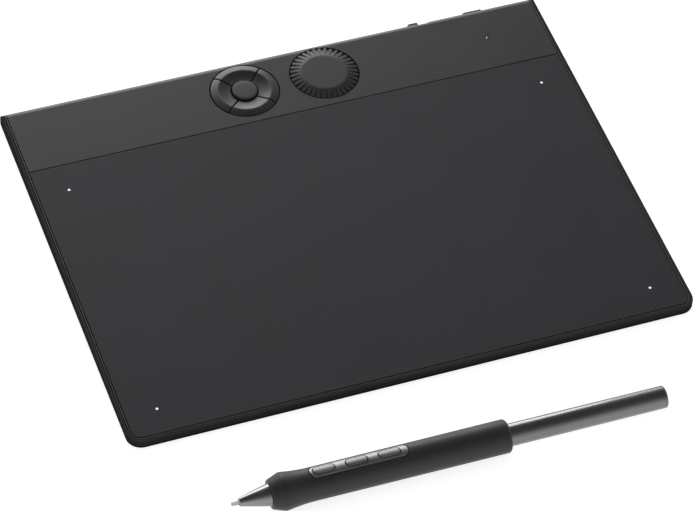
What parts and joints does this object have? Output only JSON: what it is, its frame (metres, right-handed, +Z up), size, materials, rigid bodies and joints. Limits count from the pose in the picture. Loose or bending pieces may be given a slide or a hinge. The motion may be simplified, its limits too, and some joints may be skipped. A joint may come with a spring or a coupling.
{
  "type": "graphics tablet with pen",
  "caption": "Thin wedge-shaped drawing tablet with a crested ring of press keys, a ribbed dial and a slider, and a cordless pen with side buttons.",
  "frame": {"origin": "on the desk, under the middle of the bounding box of tablet and pen", "axes": "+X to the right, +Y to the rear edge with the dial and the keys, +Z up"},
  "size_m": [0.215, 0.21, 0.0137],
  "materials": {
    "case_plastic": "fine satin grain",
    "bezel_plastic": "satin",
    "sheet_plastic": "paper-like matt grain",
    "panel_plastic": "fine satin grain",
    "key_plastic": "satin",
    "dial_plastic": "satin",
    "guide_plastic": "milky, lets light through",
    "control_plastic": "satin",
    "foot_rubber": "matt",
    "screw_steel": "blackened",
    "board_laminate": "solder mask",
    "screen_steel": "dull",
    "chip_resin": "matt",
    "module_tin": "dull",
    "connector_plastic": "matt",
    "socket_steel": "bright",
    "socket_plastic": "matt",
    "cell_foil": "satin foil",
    "tape_film": "matt",
    "lead_sleeve": "smooth",
    "flex_film": "satin",
    "switch_plastic": "matt",
    "carrier_plastic": "matt",
    "dome_steel": "bright",
    "code_magnet": "matt",
    "washer_felt": "felt",
    "lamp_resin": "clear resin",
    "grip_rubber": "soft-touch",
    "cone_plastic": "satin",
    "nib_plastic": "smooth",
    "plate_plastic": "satin",
    "pen_button_plastic": "satin",
    "tail_metal": "satin",
    "barrel_plastic": "matt",
    "ferrite": "sintered",
    "copper_wire": "enamelled"
  },
  "bodies": {
    "tablet": {"bottom_case": "case_plastic", "surface_bezel": "bezel_plastic", "drawing_surface": "sheet_plastic", "control_panel": "panel_plastic", "corner_light_guides": "guide_plastic", "status_light_guide": "guide_plastic", "sensor_board": "board_laminate", "sensor_shield": "screen_steel", "main_board": "board_laminate", "main_chips": "chip_resin", "radio_module": "module_tin", "flex_cable": "flex_film", "flex_connector": "connector_plastic", "battery": "cell_foil", "battery_tape": "tape_film", "battery_lead": "lead_sleeve", "battery_connector": "connector_plastic", "usb_shell": "socket_steel", "usb_tongue": "socket_plastic", "power_switch_body": "switch_plastic", "pairing_switch": "switch_plastic", "key_carrier": "carrier_plastic", "key_domes": "dome_steel", "dial_encoder_base": "switch_plastic", "dial_friction_washer": "washer_felt", "corner_lights": "lamp_resin", "status_light": "lamp_resin", "case_screws": "screw_steel", "board_screws": "screw_steel", "foot_front_left": "foot_rubber", "foot_front_right": "foot_rubber", "foot_rear_left": "foot_rubber", "foot_rear_right": "foot_rubber"},
    "ring_key_rear": {"ring_key_rear": "key_plastic"},
    "ring_key_right": {"ring_key_right": "key_plastic"},
    "ring_key_front": {"ring_key_front": "key_plastic"},
    "ring_key_left": {"ring_key_left": "key_plastic"},
    "center_key": {"center_key": "key_plastic"},
    "dial": {"dial_knob": "dial_plastic", "dial_code_ring": "code_magnet"},
    "power_slider": {"power_switch_knob": "control_plastic", "power_switch_lever": "connector_plastic"},
    "pairing_key": {"pairing_button": "control_plastic"},
    "pen": {"pen_nose_cone": "cone_plastic", "pen_grip": "grip_rubber", "pen_button_plate": "plate_plastic", "pen_tail_shaft": "tail_metal", "pen_tail_cap": "tail_metal", "pen_barrel": "barrel_plastic", "pen_ferrite_core": "ferrite", "pen_coil": "copper_wire", "pen_pressure_sensor": "switch_plastic", "pen_circuit_board": "board_laminate", "pen_button_switches": "switch_plastic"},
    "nib": {"pen_nib": "nib_plastic"},
    "pen_key_front": {"pen_button_front": "pen_button_plastic"},
    "pen_key_middle": {"pen_button_middle": "pen_button_plastic"},
    "pen_key_rear": {"pen_button_rear": "pen_button_plastic"}
  },
  "joints": [
    {"name": "dial_turn", "type": "hinge", "parent": "tablet", "child": "dial", "pos_m": [0.016, 0.08779, 0.00674], "axis": [0, -0.0184, 0.9998], "continuous": true},
    {"name": "ring_key_rear_press", "type": "slide", "parent": "tablet", "child": "ring_key_rear", "axis": [0, 0.0184, -0.9998], "range_m": [0, 0.0004], "stiffness_N_per_m": 800},
    {"name": "ring_key_right_press", "type": "slide", "parent": "tablet", "child": "ring_key_right", "axis": [0, 0.0184, -0.9998], "range_m": [0, 0.0004], "stiffness_N_per_m": 800},
    {"name": "ring_key_front_press", "type": "slide", "parent": "tablet", "child": "ring_key_front", "axis": [0, 0.0184, -0.9998], "range_m": [0, 0.0004], "stiffness_N_per_m": 800},
    {"name": "ring_key_left_press", "type": "slide", "parent": "tablet", "child": "ring_key_left", "axis": [0, 0.0184, -0.9998], "range_m": [0, 0.0004], "stiffness_N_per_m": 800},
    {"name": "center_key_press", "type": "slide", "parent": "tablet", "child": "center_key", "axis": [0, 0.0184, -0.9998], "range_m": [0, 0.0004], "stiffness_N_per_m": 800},
    {"name": "power_slide", "type": "slide", "parent": "tablet", "child": "power_slider", "axis": [1, 0, 0], "range_m": [0, 0.0028]},
    {"name": "pairing_press", "type": "slide", "parent": "tablet", "child": "pairing_key", "axis": [0, -0.9998, -0.0184], "range_m": [0, 0.0004], "stiffness_N_per_m": 800},
    {"name": "pen_lift", "type": "slide", "parent": "tablet", "child": "pen", "axis": [0, 0, 1], "range_m": [0, 0.1]},
    {"name": "nib_press", "type": "slide", "parent": "pen", "child": "nib", "axis": [1, 0.0009, -0.0095], "range_m": [0, 0.0005], "stiffness_N_per_m": 800},
    {"name": "pen_front_press", "type": "slide", "parent": "pen", "child": "pen_key_front", "axis": [-0.0093, -0.1392, -0.9902], "range_m": [0, 0.0004], "stiffness_N_per_m": 800},
    {"name": "pen_middle_press", "type": "slide", "parent": "pen", "child": "pen_key_middle", "axis": [-0.0093, -0.1392, -0.9902], "range_m": [0, 0.0004], "stiffness_N_per_m": 800},
    {"name": "pen_rear_press", "type": "slide", "parent": "pen", "child": "pen_key_rear", "axis": [-0.0093, -0.1392, -0.9902], "range_m": [0, 0.0004], "stiffness_N_per_m": 800}
  ]
}
